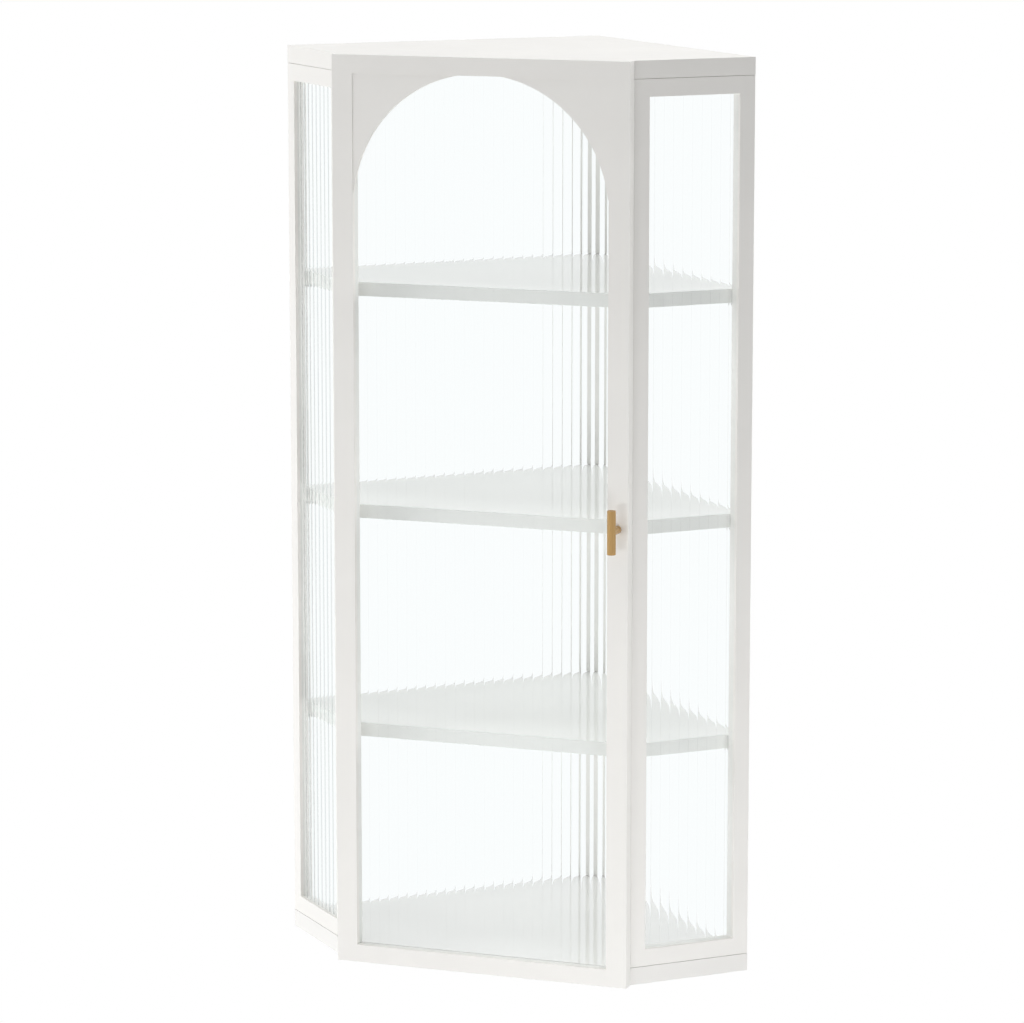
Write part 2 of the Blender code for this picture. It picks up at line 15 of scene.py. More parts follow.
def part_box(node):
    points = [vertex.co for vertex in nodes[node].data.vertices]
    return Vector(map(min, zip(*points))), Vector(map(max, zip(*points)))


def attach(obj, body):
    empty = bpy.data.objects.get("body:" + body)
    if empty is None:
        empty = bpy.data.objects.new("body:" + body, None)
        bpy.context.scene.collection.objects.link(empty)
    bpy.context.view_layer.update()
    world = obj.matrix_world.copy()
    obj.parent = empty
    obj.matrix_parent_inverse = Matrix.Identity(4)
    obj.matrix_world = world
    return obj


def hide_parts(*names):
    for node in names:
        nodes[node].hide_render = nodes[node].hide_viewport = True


# Edges, fits and roundness. Panes reach INLET into the paint, cutters run PAST the faces that they cut, and
# the side frames' front edges stop ARRIS_SETBACK short of the inner edges of the door's beads.
EDGE = 0.0006
DOOR_EDGE = 0.001
THIN_EDGE = 0.0003
EDGE_STEPS = 2
EDGE_ANGLE = math.radians(35)
SHARP_ANGLE = math.radians(60)
FLAT_ANGLE = math.radians(1)
FIT = 0.0003
INLET = 0.0005
PAST = 0.002
ARRIS_SETBACK = 0.0006
WELD = 0.00001
ROUND_STEPS = 64

# Fluted glass: each flute is a shallow hollow between steep walls. Light that has met more than TRAPPED_DEPTH
# surfaces passes straight on, dimmed by TRAPPED_TINT.
FLUTE_PITCH = 0.0118
HOLLOW_DEPTH = 0.00021
HOLLOW_POWER = 2
WALL_DEPTH = 0.0002
WALL_POWER = 8
FLUTE_STEPS = 24
DOOR_FLUTE_SHIFT = 0.0025
GLASS_IOR = 1.5
TRAPPED_DEPTH = 2.5
TRAPPED_TINT = (0.66, 0.72, 0.71)

# Arched head of the door
ARCH_TRIM = 0.002
ARCH_TIP = 0.001
ARCH_STEPS = 96
SPANDREL_RISE = 0.0005

# Hinge leaves, their screws, and the hanger plates' screws. Shares are of a screw's radius or of its rise.
HINGES = ("lower_hinge", "upper_hinge")
LEAF_T = 0.001
HINGE_SCREW_D = 0.0048
HINGE_SCREW_SPACING = 0.018
HANGER_SCREW_D = 0.0052
HANGER_SCREW_SPACING = 0.028
SCREW_RISE = 0.00015
SCREW_DEPTH = 0.0004
SHOULDER_SHARE = 0.75
SHOULDER_RISE_SHARE = 0.7
CROWN_SHARE = 0.3
CROSS_W_SHARE = 0.22
CROSS_LENGTH_SHARE = 0.62
CROSS_DEPTH = 0.0004

# Handle, and the seats of its screw's head and of the catch
BAR_ROUNDING = 0.0006
BAR_ROUND_STEPS = 6
BAR_DISH = 0.0005
BAR_RIM = 0.0011
HEAD_SEAT = 0.0028

# Colours
WHITE = (0.86, 0.848, 0.82)
BASE_WHITE = (0.83, 0.82, 0.795)
# The shelves' white is the same paint made a little lighter: painted light for the dim inside of the cabinet.
LIT_SHELF_WHITE = (0.868, 0.868, 0.842)
GLASS_TINT = (0.957, 0.985, 0.987)
BRASS = (0.47, 0.29, 0.105)
ZINC = (0.60, 0.60, 0.59)
BEECH_DARK = (0.46, 0.29, 0.15)
BEECH_LIGHT = (0.63, 0.44, 0.26)

# Surface noise: its scale per metre, and the middle of its range, which is the part that is used
NOISE_LOW, NOISE_HIGH = 0.3, 0.7
MOTTLE = {"scale": 12, "detail": 4}
SHEEN = {"scale": 90}
PEEL = {"scale": 300, "detail": 2}
DRAW_LINES = {"scale": 160, "detail": 2, "stretch": (1, 1, 0.05)}
METAL_GRAIN = {"scale": 900, "detail": 2}
BEECH_GRAIN = {"scale": 700, "detail": 4, "stretch": (1, 1, 0.06)}

# Finishes: how far colour and roughness vary, and how deep the fine relief is
MOTTLE_SHARE = 0.015
SHEEN_SHARE = 0.15
COAT_ROUGHNESS = 0.03
COATED = {"roughness": 0.12, "peel": 0.0000005, "coat": 1.0}
DRAW_DEPTH = 0.0000008
METAL_SHARE = 0.01
METAL_SHEEN = 0.03
METAL_DEPTH = 0.0000001
BEECH_ROUGHNESS = (0.5, 0.7)
BEECH_DEPTH = 0.00003

# Camera, as turn to the left, tilt down from level and focal length in pixels of a frame 1024 wide
LEVEL = math.radians(90)
CAMERA_PLACE = (1.7251, -4.7615, 1.3927)
CAMERA_TURN = math.radians(20.243)
CAMERA_TILT = math.radians(9.902)
CAMERA_FOCAL = 4397.3
FRAME_W = 1024
SENSOR_W = 36.0

# Light: the cabinet hangs above a pale floor, which is FLOOR_WHITE plain white in the middle and wholly so at
# the rim. Soft light comes from all round, strongest from BRIGHT_SIDE, and the lamps face AIM.
HANG_HEIGHT = 1.2
FLOOR_RADIUS = 3.0
FLOOR_STEPS = 96
FLOOR_COLOUR = (0.85, 0.85, 0.85)
FLOOR_ROUGHNESS = 0.9
FLOOR_WHITE = 0.6
FADE_START = 0.75
FADE_END = 2.85
PURE_WHITE = (1, 1, 1, 1)
BRIGHT_SIDE = (-0.49, 0.872, 0.0)
AMBIENT_LOW = 0.135
AMBIENT_HIGH = 0.87
AIM = Vector((0, 0, 0.5))
LAMPS = {
    "key_softbox": {"place": (-2.45, -1.0, 0.9), "size": (1.8, 1.8), "power": 24.8},
    "overhead_softbox": {"place": (0.1, -0.55, 3.2), "size": (1.6, 1.0), "power": 22.5},
    "front_softbox": {"place": (-0.35, -2.7, 0.1), "size": (0.35, 0.35), "power": 9.5},
    "back_softbox": {"place": (1.35, 1.25, 1.35), "size": (1.4, 1.0), "power": 18.0},
    "low_right_bounce": {"place": (1.05, -1.05, -0.3), "size": (1.4, 0.6), "power": 9.9},
    "low_left_bounce": {"place": (-1.3, -1.0, -0.6), "size": (1.4, 0.6), "power": 6.0},
}

LEFT, RIGHT = -1, 1
SIDES = {LEFT: "left", RIGHT: "right"}
SQRT_HALF = math.sqrt(0.5)

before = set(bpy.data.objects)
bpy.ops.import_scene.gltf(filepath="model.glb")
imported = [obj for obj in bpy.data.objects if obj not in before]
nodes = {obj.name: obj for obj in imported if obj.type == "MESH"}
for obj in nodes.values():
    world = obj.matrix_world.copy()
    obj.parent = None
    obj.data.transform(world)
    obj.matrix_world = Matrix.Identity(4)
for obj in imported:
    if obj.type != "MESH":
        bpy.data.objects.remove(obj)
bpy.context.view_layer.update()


# Node materials

def new_material(name):
    """A new material, its node tree and its main shader."""
    material = bpy.data.materials.new(name)
    material.use_nodes = True
    return material, material.node_tree, material.node_tree.nodes["Principled BSDF"]


def noise(tree, scale, detail=3.0, stretch=(1, 1, 1)):
    """Noise in the object's own metres, with its grain stretched along the axes."""
    place = tree.nodes.new("ShaderNodeTexCoord")
    mapping = tree.nodes.new("ShaderNodeMapping")
    texture = tree.nodes.new("ShaderNodeTexNoise")
    mapping.inputs["Scale"].default_value = stretch
    texture.inputs["Scale"].default_value = scale
    texture.inputs["Detail"].default_value = detail
    tree.links.new(place.outputs["Object"], mapping.inputs["Vector"])
    tree.links.new(mapping.outputs["Vector"], texture.inputs["Vector"])
    return texture.outputs["Fac"]


def spread(tree, value, low, high, start=NOISE_LOW, end=NOISE_HIGH, interpolation="LINEAR"):
    """A value that runs from start to end, as numbers from low to high."""
    node = tree.nodes.new("ShaderNodeMapRange")
    node.interpolation_type = interpolation
    node.inputs["From Min"].default_value = start
    node.inputs["From Max"].default_value = end
    node.inputs["To Min"].default_value = low
    node.inputs["To Max"].default_value = high
    tree.links.new(value, node.inputs["Value"])
    return node.outputs["Result"]


def blend(tree, value, dark, light):
    """The middle of a noise's range as colours from dark to light."""
    node = tree.nodes.new("ShaderNodeValToRGB")
    stops = zip(node.color_ramp.elements, (NOISE_LOW, NOISE_HIGH), (dark, light))
    for element, place, colour in stops:
        element.position = place
        element.color = (*colour, 1)
    tree.links.new(value, node.inputs["Fac"])
    return node.outputs["Color"]


def shades(colour, share):
    """A colour made darker and lighter by a share."""
    return [channel * (1 - share) for channel in colour], [channel * (1 + share) for channel in colour]


def bump(tree, shader, height, depth):
    """Give a shader fine relief of some depth."""
    node = tree.nodes.new("ShaderNodeBump")
    node.inputs["Distance"].default_value = depth
    tree.links.new(height, node.inputs["Height"])
    tree.links.new(node.outputs["Normal"], shader.inputs["Normal"])


def reckon(tree, operation, first, second):
    """Two values put together by a math node. The second can be a plain number."""
    node = tree.nodes.new("ShaderNodeMath")
    node.operation = operation
    tree.links.new(first, node.inputs[0])
    if isinstance(second, float):
        node.inputs[1].default_value = second
    else:
        tree.links.new(second, node.inputs[1])
    return node.outputs[0]


def mix_shaders(tree, share, first, second):
    """The first shader where the share is 0, and the second where it is 1."""
    node = tree.nodes.new("ShaderNodeMixShader")
    tree.links.new(share, node.inputs["Fac"])
    tree.links.new(first, node.inputs[1])
    tree.links.new(second, node.inputs[2])
    return node.outputs["Shader"]


def seen_rays(tree):
    """1 for the rays that show the background: those of the camera, of gloss and through glass."""
    path = tree.nodes.new("ShaderNodeLightPath").outputs
    direct = reckon(tree, "MAXIMUM", path["Is Camera Ray"], path["Is Glossy Ray"])
    return reckon(tree, "MAXIMUM", direct, path["Is Transmission Ray"])


def paint_material(name, colour, roughness, peel, coat=0.0, gloss=0.5):
    """Warm white paint with a slow mottle, a faint orange peel of some depth and perhaps a clear coat."""
    material, tree, shader = new_material(name)
    shader.inputs["Specular IOR Level"].default_value = gloss
    shader.inputs["Coat Weight"].default_value = coat
    shader.inputs["Coat Roughness"].default_value = COAT_ROUGHNESS
    mottle = blend(tree, noise(tree, **MOTTLE), *shades(colour, MOTTLE_SHARE))
    low, high = roughness * (1 - SHEEN_SHARE), roughness * (1 + SHEEN_SHARE)
    sheen = spread(tree, noise(tree, **SHEEN), low, high)
    tree.links.new(mottle, shader.inputs["Base Color"])
    tree.links.new(sheen, shader.inputs["Roughness"])
    bump(tree, shader, noise(tree, **PEEL), peel)
    return material


def glass_material():
    """Clear pressed glass with faint upright lines. Lamps, soft light and trapped light pass straight on."""
    material, tree, shader = new_material("fluted_glass")
    shader.inputs["Base Color"].default_value = (*GLASS_TINT, 1)
    shader.inputs["Roughness"].default_value = 0.0
    shader.inputs["IOR"].default_value = GLASS_IOR
    shader.inputs["Transmission Weight"].default_value = 1.0
    bump(tree, shader, noise(tree, **DRAW_LINES), DRAW_DEPTH)
    clear = tree.nodes.new("ShaderNodeBsdfTransparent")
    dimmed = tree.nodes.new("ShaderNodeBsdfTransparent")
    dimmed.inputs["Color"].default_value = (*TRAPPED_TINT, 1)
    path = tree.nodes.new("ShaderNodeLightPath").outputs
    trapped = reckon(tree, "GREATER_THAN", path["Ray Depth"], TRAPPED_DEPTH)
    passing = reckon(tree, "MAXIMUM", path["Is Shadow Ray"], path["Is Diffuse Ray"])
    escape = mix_shaders(tree, trapped, shader.outputs["BSDF"], dimmed.outputs["BSDF"])
    surface = mix_shaders(tree, passing, escape, clear.outputs["BSDF"])
    tree.links.new(surface, tree.nodes["Material Output"].inputs["Surface"])
    return material


def metal_material(name, colour, roughness, grain, metallic=1.0):
    """Metal with a fine grain, stretched along its axes."""
    material, tree, shader = new_material(name)
    shader.inputs["Metallic"].default_value = metallic
    lines = noise(tree, stretch=grain, **METAL_GRAIN)
    tint = blend(tree, lines, *shades(colour, METAL_SHARE))
    sheen = spread(tree, lines, roughness - METAL_SHEEN, roughness + METAL_SHEEN)
    tree.links.new(tint, shader.inputs["Base Color"])
    tree.links.new(sheen, shader.inputs["Roughness"])
    bump(tree, shader, lines, METAL_DEPTH)
    return material


def beech_material():
    """Plain beech with an upright grain."""
    material, tree, shader = new_material("beech")
    grain = noise(tree, **BEECH_GRAIN)
    tree.links.new(blend(tree, grain, BEECH_DARK, BEECH_LIGHT), shader.inputs["Base Color"])
    tree.links.new(spread(tree, grain, *BEECH_ROUGHNESS), shader.inputs["Roughness"])
    bump(tree, shader, grain, BEECH_DEPTH)
    return material


PAINT = paint_material("white_paint", WHITE, roughness=0.42, peel=0.000008)
BASE_PAINT = paint_material("white_base_paint", BASE_WHITE, **COATED)
# The shelves get a lighter copy of the white paint, which paints light into the cabinet's inside.
LIT_SHELF_PAINT = paint_material("lit_white_shelf_paint", LIT_SHELF_WHITE, gloss=0.0, **COATED)
LACQUER = paint_material("white_lacquer", WHITE, roughness=0.30, peel=0.000005)
GLASS = glass_material()
SATIN_BRASS = metal_material("satin_brass", BRASS, roughness=0.25, grain=(1, 1, 0.02), metallic=0.25)
ZINC_STEEL = metal_material("zinc_steel", ZINC, roughness=0.34, grain=(1, 1, 0.2))
BEECH = beech_material()


# Meshes

def finish_mesh(shape):
    """The mesh of a bmesh, with its faces turned out and smooth between sharp edges."""
    bmesh.ops.recalc_face_normals(shape, faces=shape.faces)
    mesh = bpy.data.meshes.new("piece")
    shape.to_mesh(mesh)
    shape.free()
    mesh.shade_smooth()
    mesh.set_sharp_from_angle(angle=SHARP_ANGLE)
    return mesh


def loop_mesh(loops, closed):
    """Quads between loops of points that follow one another, joined up at the end or capped."""
    shape = bmesh.new()
    rows = [[shape.verts.new(point) for point in loop] for loop in loops]
    pairs = zip(rows, rows[1:] + rows[:1]) if closed else zip(rows, rows[1:])
    for row, after in pairs:
        for i in range(len(row)):
            j = (i + 1) % len(row)
            shape.faces.new((row[i], row[j], after[j], after[i]))
    if not closed:
        shape.faces.new(rows[0])
        shape.faces.new(rows[-1])
    return finish_mesh(shape)


def turned_mesh(profile, axis, place):
    """A profile of (radius, height), turned about an axis through a place."""
    turn = Vector((0, 0, 1)).rotation_difference(Vector(axis)).to_matrix()
    angles = [2 * math.pi * i / ROUND_STEPS for i in range(ROUND_STEPS)]
    loops = []
    for radius, height in profile:
        ring = [Vector((radius * math.cos(a), radius * math.sin(a), height)) for a in angles]
        loops.append([turn @ point + Vector(place) for point in ring])
    return loop_mesh(loops, closed=False)


def block_mesh(low, high):
    """A box between two corners."""
    low, high = Vector(low), Vector(high)
    shape = bmesh.new()
    bmesh.ops.create_cube(shape, size=1.0, matrix=Matrix.Diagonal((*(high - low), 1)))
    bmesh.ops.transform(shape, matrix=Matrix.Translation((low + high) / 2), verts=shape.verts)
    return finish_mesh(shape)


def arc(centre, radius, start, end, steps):
    """Points of an arc, with angles in degrees."""
    angles = [math.radians(start + (end - start) * i / steps) for i in range(steps + 1)]
    return [(centre[0] + radius * math.cos(a), centre[1] + radius * math.sin(a)) for a in angles]


# Pieces

def add_object(name, data):
    """A new object in the scene."""
    thing = bpy.data.objects.new(name, data)
    bpy.context.scene.collection.objects.link(thing)
    return thing


def add_piece(name, mesh, material, slot, body, *stood_for):
    """A piece that rides on a body and stands for some of its solids."""
    piece = add_object(name, mesh)
    mesh.materials.clear()
    mesh.materials.append(material)
    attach(piece, body)
    if stood_for:
        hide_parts(*stood_for)
    return piece


def soften(piece, width=EDGE):
    """Round a piece's sharp edges a little."""
    bevel = piece.modifiers.new("softened_edges", "BEVEL")
    bevel.width = width
    bevel.segments = EDGE_STEPS
    bevel.limit_method = "ANGLE"
    bevel.angle_limit = EDGE_ANGLE
    bevel.harden_normals = True


def cut(mesh, cutters):
    """A mesh with each of the cutters' meshes taken out of it."""
    target = add_object("target", mesh)
    tools = [add_object("cutter", cutter) for cutter in cutters]
    for tool in tools:
        boolean = target.modifiers.new("cut", "BOOLEAN")
        boolean.object = tool
    bpy.context.view_layer.update()
    solved = target.evaluated_get(bpy.context.evaluated_depsgraph_get())
    result = bpy.data.meshes.new_from_object(solved)
    for helper in (target, *tools):
        bpy.data.objects.remove(helper)
    return result


def finish_node(name, material, edge=0.0):
    """Give a solid its finish and, if asked, softened edges."""
    node = nodes[name]
    node.data.materials.clear()
    node.data.materials.append(material)
    if edge:
        weld = node.modifiers.new("weld", "WELD")
        weld.merge_threshold = WELD
        plain = node.modifiers.new("plain_faces", "DECIMATE")
        plain.decimate_type = "DISSOLVE"
        plain.angle_limit = FLAT_ANGLE
        soften(node, edge)


# The plane of a side frame: along it from the front corner, inward from its outer face, and up

front_corner = Vector((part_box("door_handle_stile")[1].x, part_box("bottom_panel")[0].y, 0))


def side_axes(side):
    return Vector((side * SQRT_HALF, SQRT_HALF, 0)), Vector((-side * SQRT_HALF, SQRT_HALF, 0))


def side_point(side, along, inward, z):
    corner = Vector((side * front_corner.x, front_corner.y, z))
    along_axis, inward_axis = side_axes(side)
    return corner + along_axis * along + inward_axis * inward


def side_extent(side, node):
    """Lowest and highest (along, inward, z) of a solid of a side frame."""
    corner = Vector((side * front_corner.x, front_corner.y, 0))
    along_axis, inward_axis = side_axes(side)
    reaches = [vertex.co - corner for vertex in nodes[node].data.vertices]
    places = [(reach.dot(along_axis), reach.dot(inward_axis), reach.z) for reach in reaches]
    return Vector(map(min, zip(*places))), Vector(map(max, zip(*places)))


# Fluted panes

def pane_section(low, high, thickness, ridge):
    """Section of a pane along its width: flat at 0, and hollow flutes with steep walls on the other face."""
    def reach(along):
        across = abs(((along - ridge) / FLUTE_PITCH) % 1 * 2 - 1)
        hollow = HOLLOW_DEPTH * (1 - across ** HOLLOW_POWER) + WALL_DEPTH * (1 - across ** WALL_POWER)
        return thickness - hollow

    shares = [(1 - math.cos(math.pi * i / FLUTE_STEPS)) / 2 for i in range(FLUTE_STEPS)]
    first = math.floor((low - ridge) / FLUTE_PITCH)
    last = math.ceil((high - ridge) / FLUTE_PITCH)
    places = [ridge + (flute + share) * FLUTE_PITCH for flute in range(first, last) for share in shares]
    stations = [low, *(place for place in places if low + FIT < place < high - FIT), high]
    return [(low, 0), (high, 0), *((along, reach(along)) for along in reversed(stations))]


def add_door_pane():
    """The pane in the door's opening, with its edges let into the paint."""
    low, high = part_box("door_glass")
    left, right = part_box("door_hinge_stile")[1].x - INLET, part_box("door_handle_stile")[0].x + INLET
    bottom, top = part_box("door_bottom_rail")[1].z - INLET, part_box("door_top_rail")[0].z + INLET
    section = pane_section(left, right, high.y - low.y, DOOR_FLUTE_SHIFT)
    loops = [[(x, low.y + depth, z) for x, depth in section] for z in (bottom, top)]
    add_piece("door_pane", loop_mesh(loops, closed=False), GLASS, "fluted_glass", "door", "door_glass")


def add_side_pane(side):
    """The pane in a side frame's opening, with its edges let into the paint."""
    name = SIDES[side]
    low, high = side_extent(side, f"{name}_glass")
    front = side_extent(side, f"{name}_front_stile")[1].x - INLET
    rear = side_extent(side, f"{name}_rear_stile")[0].x + INLET
    bottom = side_extent(side, f"{name}_bottom_rail")[1].z - INLET
    top = side_extent(side, f"{name}_top_rail")[0].z + INLET
    section = pane_section(front, rear, high.y - low.y, (front + rear) / 2)
    loops = [[side_point(side, along, low.y + depth, z) for along, depth in section] for z in (bottom, top)]
    mesh = loop_mesh(loops, closed=False)
    add_piece(f"{name}_pane", mesh, GLASS, "fluted_glass", "carcass", f"{name}_glass")


# Painted frames

def mortise_meshes(leaf, front, back):
    """Cutters from front to back, for one leaf of each hinge, that are open at the left edge of the door."""
    meshes = []
    for hinge in HINGES:
        low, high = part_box(f"{hinge}_{leaf}")
        corner = (-front_corner.x - PAST, front, low.z - FIT)
        meshes.append(block_mesh(corner, (high.x + FIT, back, high.z + FIT)))
    return meshes


def seat_mesh(node, face_y):
    """A round cutter along Y for a disc or a screw's head that is let into a face from its open side."""
    low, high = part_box(node)
    middle = (low + high) / 2
    radius = (high.x - low.x) / 2 + FIT
    outside = 1 if high.y > face_y - PAST else -1
    depth = min(high.y - low.y, HEAD_SEAT)
    inner, outer = face_y - outside * (depth + FIT), face_y + outside * PAST
    profile = [(radius, 0), (radius, abs(outer - inner))]
    return turned_mesh(profile, (0, outside, 0), (middle.x, inner, middle.z))


def add_door_frame():
    """Stiles and rails as one painted frame, rebated for beads and cut for the hinges, catch and screw."""
    low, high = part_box("door_hinge_stile")[0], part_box("door_handle_stile")[1]
    low.z, high.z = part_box("bottom_panel")[0].z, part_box("top_panel")[1].z
    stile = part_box("door_hinge_stile")[1].x - low.x
    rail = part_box("door_bottom_rail")[1].z - low.z
    bead_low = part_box("door_left_bead")[0]
    rebate = low.x + stile - bead_low.x + FIT
    rebate_y = bead_low.y - WELD
    section = [
        (0, 0, low.y),
        (stile, rail, low.y),
        (stile, rail, rebate_y),
        (stile - rebate, rail - rebate, rebate_y),
        (stile - rebate, rail - rebate, high.y),
        (0, 0, high.y),
    ]
    loops = []
    for inset_x, inset_z, y in section:
        left, right = low.x + inset_x, high.x - inset_x
        bottom, top = low.z + inset_z, high.z - inset_z
        loops.append([(left, y, bottom), (right, y, bottom), (right, y, top), (left, y, top)])
    cutters = mortise_meshes("door_leaf", high.y - LEAF_T - FIT, high.y + PAST)
    cutters += [seat_mesh(disc, high.y) for disc in ("catch_strike", "handle_screw")]
    mesh = cut(loop_mesh(loops, closed=True), cutters)
    members = ("door_hinge_stile", "door_handle_stile", "door_bottom_rail", "door_top_rail")
    soften(add_piece("door_frame", mesh, PAINT, "white_paint", "door", *members), DOOR_EDGE)


def add_side_frame(side):
    """Stiles and rails of a side as one painted frame, with a slanting front face that the door hides."""
    name = SIDES[side]
    stile_low, stile_high = side_extent(side, f"{name}_front_stile")
    rear = side_extent(side, f"{name}_rear_stile")[1].x
    rail = side_extent(side, f"{name}_bottom_rail")[1].z - stile_low.z
    stile, thick = stile_high.x, stile_high.y
    section = [(0, 0, 0), (stile, rail, 0), (stile, rail, thick), (0, 0, thick)]
    loops = []
    for inset, inset_z, inward in section:
        front = inset if inset else -inward
        bottom, top = stile_low.z + inset_z, stile_high.z - inset_z
        corners = ((front, bottom), (rear - inset, bottom), (rear - inset, top), (front, top))
        loops.append([side_point(side, along, inward, z) for along, z in corners])
    face = front_corner.y
    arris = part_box("door_right_bead")[0].x + ARRIS_SETBACK
    near, far = sorted((side * arris, side * (arris - 2 * PAST)))
    low, high = (near, face - PAST, stile_low.z - PAST), (far, face + 2 * PAST, stile_high.z + PAST)
    cutters = [block_mesh(low, high)]
    if side == LEFT:
        cutters += mortise_meshes("frame_leaf", face - PAST, face + LEAF_T + FIT)
    else:
        cutters.append(seat_mesh("catch_magnet", face))
    mesh = cut(loop_mesh(loops, closed=True), cutters)
    members = [f"{name}_{member}" for member in ("front_stile", "rear_stile", "bottom_rail", "top_rail")]
    soften(add_piece(f"{name}_frame", mesh, PAINT, "white_paint", "carcass", *members))


def add_spandrel(side):
    """One of the two thin corners above the arch, which is a semicircle that the top rail just cuts."""
    name = f"door_{SIDES[side]}_spandrel"
    low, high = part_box(name)
    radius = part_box("door_top_rail")[1].x + FIT
    edge, top = max(abs(low.x), abs(high.x)) + FIT, high.z + FIT
    centre_z = top + ARCH_TRIM - radius
    start = math.degrees(math.acos((edge - ARCH_TIP) / radius))
    end = math.degrees(math.asin((top - centre_z) / radius))
    outline = arc((0, centre_z), radius, start, end, ARCH_STEPS)
    outline += [(edge, top), (edge, outline[0][1])]
    loops = [[(side * x, y, z) for x, z in outline] for y in (low.y - SPANDREL_RISE, high.y)]
    mesh = loop_mesh(loops, closed=False)
    soften(add_piece(f"{SIDES[side]}_arch_spandrel", mesh, PAINT, "white_paint", "door", name), THIN_EDGE)


# Handle and screws

def add_handle():
    """A bar with dished ends and rounded rims on a plain round stem."""
    low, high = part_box("handle_bar")
    middle = (low + high) / 2
    radius, half = (high.x - low.x) / 2, (high.z - low.z) / 2
    end = [(radius - BAR_RIM, half - BAR_DISH), (radius - BAR_RIM + BAR_DISH, half)]
    rounding = (radius - BAR_ROUNDING, half - BAR_ROUNDING)
    end += arc(rounding, BAR_ROUNDING, start=90, end=0, steps=BAR_ROUND_STEPS)
    profile = end + [(r, -z) for r, z in reversed(end)]
    bar = turned_mesh(profile, (0, 0, 1), middle)
    add_piece("brass_bar", bar, SATIN_BRASS, "satin_brass", "door", "handle_bar")

    low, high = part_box("handle_stem")
    stem_radius = (high.x - low.x) / 2
    length = high.y - middle.y
    stem = turned_mesh([(stem_radius, 0), (stem_radius, length)], (0, 1, 0), middle)
    add_piece("brass_stem", stem, SATIN_BRASS, "satin_brass", "door", "handle_stem")


def screw_mesh(diameter, outward, place):
    """A flush oval screw head with a cross recess, facing outward."""
    radius = diameter / 2
    shoulder = (radius * SHOULDER_SHARE, SCREW_RISE * SHOULDER_RISE_SHARE)
    profile = [(radius, -SCREW_DEPTH), (radius, 0), shoulder, (radius * CROWN_SHARE, SCREW_RISE)]
    head = turned_mesh(profile, (0, 0, 1), (0, 0, 0))
    half_w, half_length = CROSS_W_SHARE * radius / 2, CROSS_LENGTH_SHARE * radius
    bottom, top = SCREW_RISE - CROSS_DEPTH, SCREW_RISE + PAST
    slots = [
        block_mesh((-half_length, -half_w, bottom), (half_length, half_w, top)),
        block_mesh((-half_w, -half_length, bottom), (half_w, half_length, top)),
    ]
    head = cut(head, slots)
    turn = Vector((0, 0, 1)).rotation_difference(Vector(outward)).to_matrix().to_4x4()
    head.transform(Matrix.Translation(place) @ turn)
    return head


def add_hinge_screws(hinge):
    """Two screws in each leaf of a hinge, which show when the door is open."""
    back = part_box("door_handle_stile")[1].y
    leaves = {"door": ("door", back, 1), "frame": ("carcass", front_corner.y, -1)}
    for leaf, (body, face, outward) in leaves.items():
        low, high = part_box(f"{hinge}_{leaf}_leaf")
        x = (high.x - front_corner.x) / 2
        middle = (low.z + high.z) / 2
        for place, shift in (("bottom", -HINGE_SCREW_SPACING / 2), ("top", HINGE_SCREW_SPACING / 2)):
            mesh = screw_mesh(HINGE_SCREW_D, (0, outward, 0), (x, face, middle + shift))
            add_piece(f"{hinge}_{leaf}_{place}_screw", mesh, LACQUER, "lacquered_steel", body)


def add_hanger_screws(side):
    """Two screws in a keyhole plate, on each side of its keyhole."""
    name = f"{SIDES[side]}_hanger"
    low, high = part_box(f"{name}_plate")
    outward = Vector((side * SQRT_HALF, SQRT_HALF, 0))
    along = Vector((side * SQRT_HALF, -SQRT_HALF, 0))
    wall_reach = max(vertex.co.dot(outward) for vertex in nodes[f"{name}_plate"].data.vertices)
    middle = (low + high) / 2
    middle += outward * (wall_reach - middle.dot(outward))
    for place, shift in (("front", HANGER_SCREW_SPACING / 2), ("rear", -HANGER_SCREW_SPACING / 2)):
        mesh = screw_mesh(HANGER_SCREW_D, outward, middle + along * shift - outward * SCREW_RISE)
        add_piece(f"{name}_{place}_screw", mesh, ZINC_STEEL, "zinc_steel", "carcass")


def dress_nodes():
    """Finishes of the solids that stay as they are."""
    for name in ("top_panel", "back_corner_post"):
        finish_node(name, PAINT, EDGE)
    finish_node("bottom_panel", BASE_PAINT, EDGE)
    for name in ("door_left_bead", "door_right_bead", "door_bottom_bead", "door_top_bead"):
        finish_node(name, PAINT, THIN_EDGE)
    for name in nodes:
        # Shelves take the lighter copy of the white paint, which is painted light for the inside.
        if name.endswith("_shelf"):
            finish_node(name, LIT_SHELF_PAINT, EDGE)
        elif "_hinge_" in name and name.split("_")[0] in ("lower", "upper"):
            finish_node(name, LACQUER)
        elif name.endswith("_dowel"):
            finish_node(name, BEECH)
        elif name.endswith(("_pin", "_plate", "_screw", "_magnet", "_strike")):
            finish_node(name, ZINC_STEEL)


# Stage

def add_world():
    """Soft light that is strongest from one side, and plain white where the background is seen."""
    world = bpy.data.worlds.new("white_studio")
    world.use_nodes = True
    bpy.context.scene.world = world
    tree = world.node_tree
    light = tree.nodes["Background"]
    white = tree.nodes.new("ShaderNodeBackground")
    for background in (light, white):
        background.inputs["Color"].default_value = PURE_WHITE
    place = tree.nodes.new("ShaderNodeTexCoord")
    lean = tree.nodes.new("ShaderNodeVectorMath")
    lean.operation = "DOT_PRODUCT"
    lean.inputs[1].default_value = BRIGHT_SIDE
    tree.links.new(place.outputs["Generated"], lean.inputs[0])
    strength = spread(tree, lean.outputs["Value"], AMBIENT_LOW, AMBIENT_HIGH, start=-1.0, end=1.0)
    tree.links.new(strength, light.inputs["Strength"])
    mix = mix_shaders(tree, seen_rays(tree), light.outputs["Background"], white.outputs["Background"])
    tree.links.new(mix, tree.nodes["World Output"].inputs["Surface"])


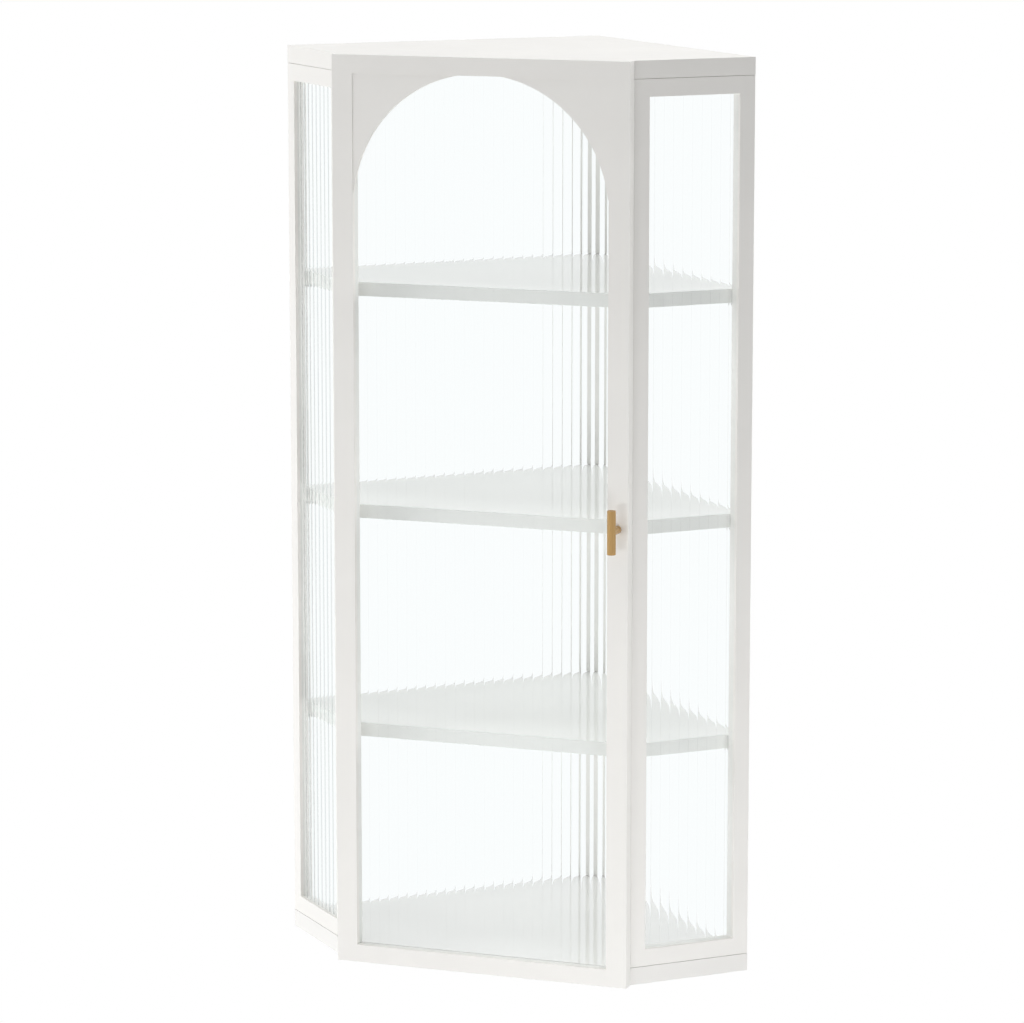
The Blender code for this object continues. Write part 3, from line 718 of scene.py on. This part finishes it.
def add_floor():
    """A pale round floor below the hung cabinet, which keeps its shadow and fades to white at the rim."""
    shape = bmesh.new()
    bmesh.ops.create_circle(shape, cap_ends=True, segments=FLOOR_STEPS, radius=FLOOR_RADIUS)
    mesh = bpy.data.meshes.new("floor")
    shape.to_mesh(mesh)
    shape.free()
    floor = add_object("floor", mesh)
    floor.location.z = -HANG_HEIGHT

    material, tree, shader = new_material("pale_floor")
    shader.inputs["Base Color"].default_value = (*FLOOR_COLOUR, 1)
    shader.inputs["Roughness"].default_value = FLOOR_ROUGHNESS
    white = tree.nodes.new("ShaderNodeEmission")
    place = tree.nodes.new("ShaderNodeTexCoord")
    away = tree.nodes.new("ShaderNodeVectorMath")
    away.operation = "LENGTH"
    tree.links.new(place.outputs["Object"], away.inputs[0])
    fade = spread(tree, away.outputs["Value"], FLOOR_WHITE, 1.0, FADE_START, FADE_END, "SMOOTHSTEP")
    share = reckon(tree, "MULTIPLY", fade, seen_rays(tree))
    mix = mix_shaders(tree, share, shader.outputs["BSDF"], white.outputs["Emission"])
    tree.links.new(mix, tree.nodes["Material Output"].inputs["Surface"])
    mesh.materials.append(material)


def add_lamps():
    """Soft lamps that are seen only by what they light."""
    for name, lamp in LAMPS.items():
        light = bpy.data.lights.new(name, "AREA")
        light.shape = "RECTANGLE"
        light.size, light.size_y = lamp["size"]
        light.energy = lamp["power"]
        holder = add_object(name, light)
        holder.location = lamp["place"]
        holder.rotation_mode = "QUATERNION"
        holder.rotation_quaternion = (AIM - Vector(lamp["place"])).to_track_quat("-Z", "Y")
        holder.visible_camera = False
        holder.visible_glossy = False
        holder.visible_transmission = False


def add_camera():
    data = bpy.data.cameras.new("camera")
    data.sensor_width = SENSOR_W
    data.lens = CAMERA_FOCAL * SENSOR_W / FRAME_W
    camera = add_object("camera", data)
    camera.location = CAMERA_PLACE
    camera.rotation_euler = (LEVEL - CAMERA_TILT, 0, CAMERA_TURN)
    bpy.context.scene.camera = camera


def build():
    add_door_frame()
    add_door_pane()
    for side in SIDES:
        add_side_frame(side)
        add_side_pane(side)
        add_spandrel(side)
        add_hanger_screws(side)
    add_handle()
    for hinge in HINGES:
        add_hinge_screws(hinge)
    dress_nodes()
    add_world()
    add_floor()
    add_lamps()
    add_camera()
    bpy.context.scene.view_settings.view_transform = "Standard"


build()
